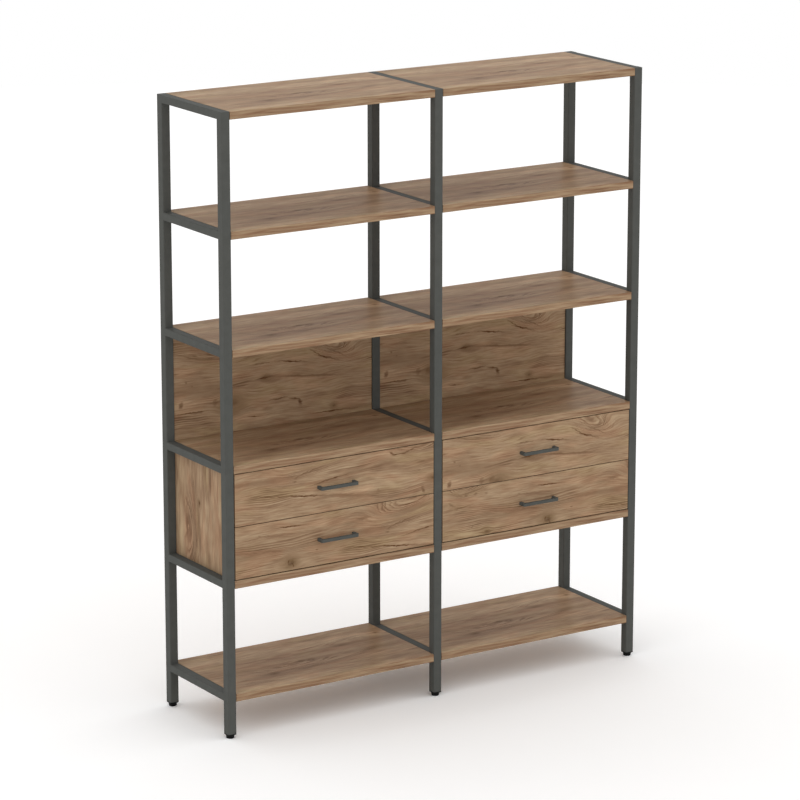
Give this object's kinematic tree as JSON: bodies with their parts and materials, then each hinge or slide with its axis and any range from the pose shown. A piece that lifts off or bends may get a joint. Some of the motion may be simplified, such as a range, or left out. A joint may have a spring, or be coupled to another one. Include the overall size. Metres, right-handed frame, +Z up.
{
  "type": "shelving unit",
  "caption": "Free-standing shelving unit with welded tubular steel frames, wood-decor shelves, a backed niche and drawers with bow handles that slide out to the front.",
  "frame": {"origin": "on the floor, under the middle of the box that holds the unit and its handles", "axes": "+X to the right along the unit, +Y from its front to its back, +Z up"},
  "size_m": [1.57, 0.428, 1.995],
  "materials": {
    "oak_decor": "matte tobacco oak decor with an open grain",
    "graphite_steel": "matte graphite powder coat",
    "runner_steel": "satin grey epoxy coat on folded steel",
    "drawer_board": "matte light grey melamine",
    "black_plastic": "moulded, fine texture"
  },
  "bodies": {
    "carcass": {"frame_left": "graphite_steel", "frame_middle": "graphite_steel", "frame_right": "graphite_steel", "foot_left_front": "black_plastic", "foot_left_back": "black_plastic", "foot_middle_front": "black_plastic", "foot_middle_back": "black_plastic", "foot_right_front": "black_plastic", "foot_right_back": "black_plastic", "left_shelf_1": "oak_decor", "left_shelf_2": "oak_decor", "left_shelf_3": "oak_decor", "left_shelf_4": "oak_decor", "left_shelf_5": "oak_decor", "left_shelf_6": "oak_decor", "right_shelf_1": "oak_decor", "right_shelf_2": "oak_decor", "right_shelf_3": "oak_decor", "right_shelf_4": "oak_decor", "right_shelf_5": "oak_decor", "right_shelf_6": "oak_decor", "left_back_panel": "oak_decor", "right_back_panel": "oak_decor", "left_bay_left_side": "oak_decor", "left_bay_right_side": "oak_decor", "right_bay_left_side": "oak_decor", "right_bay_right_side": "oak_decor", "left_upper_drawer_left_runner": "runner_steel", "left_upper_drawer_right_runner": "runner_steel", "left_lower_drawer_left_runner": "runner_steel", "left_lower_drawer_right_runner": "runner_steel", "right_upper_drawer_left_runner": "runner_steel", "right_upper_drawer_right_runner": "runner_steel", "right_lower_drawer_left_runner": "runner_steel", "right_lower_drawer_right_runner": "runner_steel"},
    "left_upper_drawer": {"left_upper_drawer_front": "oak_decor", "left_upper_drawer_handle": "graphite_steel", "left_upper_drawer_bottom": "drawer_board", "left_upper_drawer_back": "drawer_board", "left_upper_drawer_left_side": "runner_steel", "left_upper_drawer_right_side": "runner_steel"},
    "left_lower_drawer": {"left_lower_drawer_front": "oak_decor", "left_lower_drawer_handle": "graphite_steel", "left_lower_drawer_bottom": "drawer_board", "left_lower_drawer_back": "drawer_board", "left_lower_drawer_left_side": "runner_steel", "left_lower_drawer_right_side": "runner_steel"},
    "right_upper_drawer": {"right_upper_drawer_front": "oak_decor", "right_upper_drawer_handle": "graphite_steel", "right_upper_drawer_bottom": "drawer_board", "right_upper_drawer_back": "drawer_board", "right_upper_drawer_left_side": "runner_steel", "right_upper_drawer_right_side": "runner_steel"},
    "right_lower_drawer": {"right_lower_drawer_front": "oak_decor", "right_lower_drawer_handle": "graphite_steel", "right_lower_drawer_bottom": "drawer_board", "right_lower_drawer_back": "drawer_board", "right_lower_drawer_left_side": "runner_steel", "right_lower_drawer_right_side": "runner_steel"}
  },
  "joints": [
    {"name": "left_upper_drawer_slide", "type": "slide", "parent": "carcass", "child": "left_upper_drawer", "axis": [0, -1, 0], "range_m": [0, 0.26]},
    {"name": "left_lower_drawer_slide", "type": "slide", "parent": "carcass", "child": "left_lower_drawer", "axis": [0, -1, 0], "range_m": [0, 0.26]},
    {"name": "right_upper_drawer_slide", "type": "slide", "parent": "carcass", "child": "right_upper_drawer", "axis": [0, -1, 0], "range_m": [0, 0.26]},
    {"name": "right_lower_drawer_slide", "type": "slide", "parent": "carcass", "child": "right_lower_drawer", "axis": [0, -1, 0], "range_m": [0, 0.26]}
  ]
}
